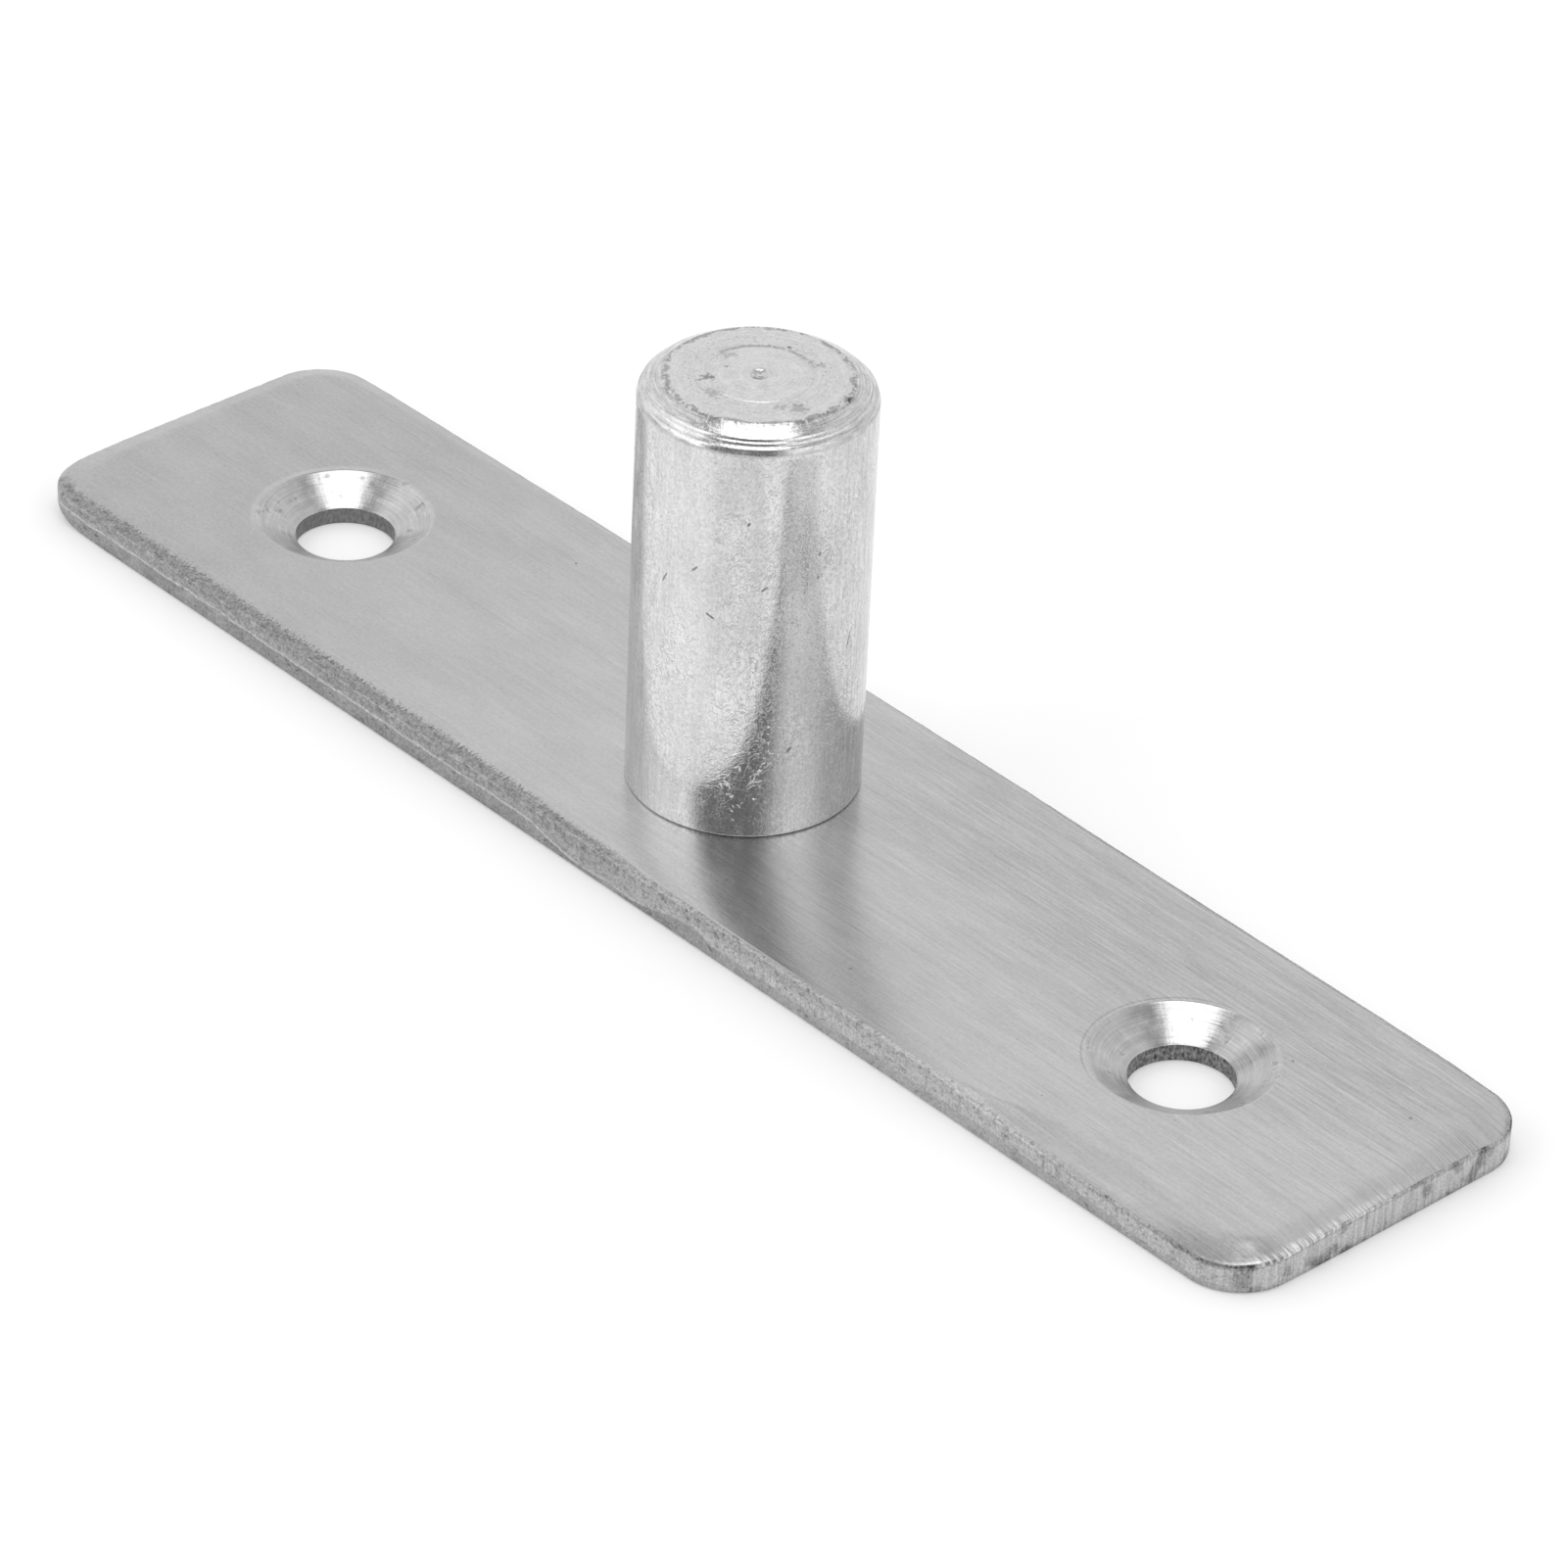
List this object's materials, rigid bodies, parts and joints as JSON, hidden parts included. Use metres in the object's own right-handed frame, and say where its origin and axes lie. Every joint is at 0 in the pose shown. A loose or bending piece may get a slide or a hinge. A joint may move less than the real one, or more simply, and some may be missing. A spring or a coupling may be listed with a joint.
{
  "type": "pivot hinge pin plate",
  "caption": "Fixed half of a pivot hinge: a round chamfered steel pin riveted upright in the middle of a flat screw-on plate with rounded corners and countersunk holes.",
  "frame": {"origin": "middle of the plate's back face, on the pin's axis", "axes": "+Z along the pin, away from the plate; +X along the plate, through both screw holes"},
  "size_m": [0.1142, 0.0254, 0.0317],
  "materials": {
    "plate_steel": "satin",
    "pin_steel": "bright"
  },
  "bodies": {
    "root": {"mounting_plate": "plate_steel", "pivot_pin": "pin_steel"}
  },
  "joints": []
}
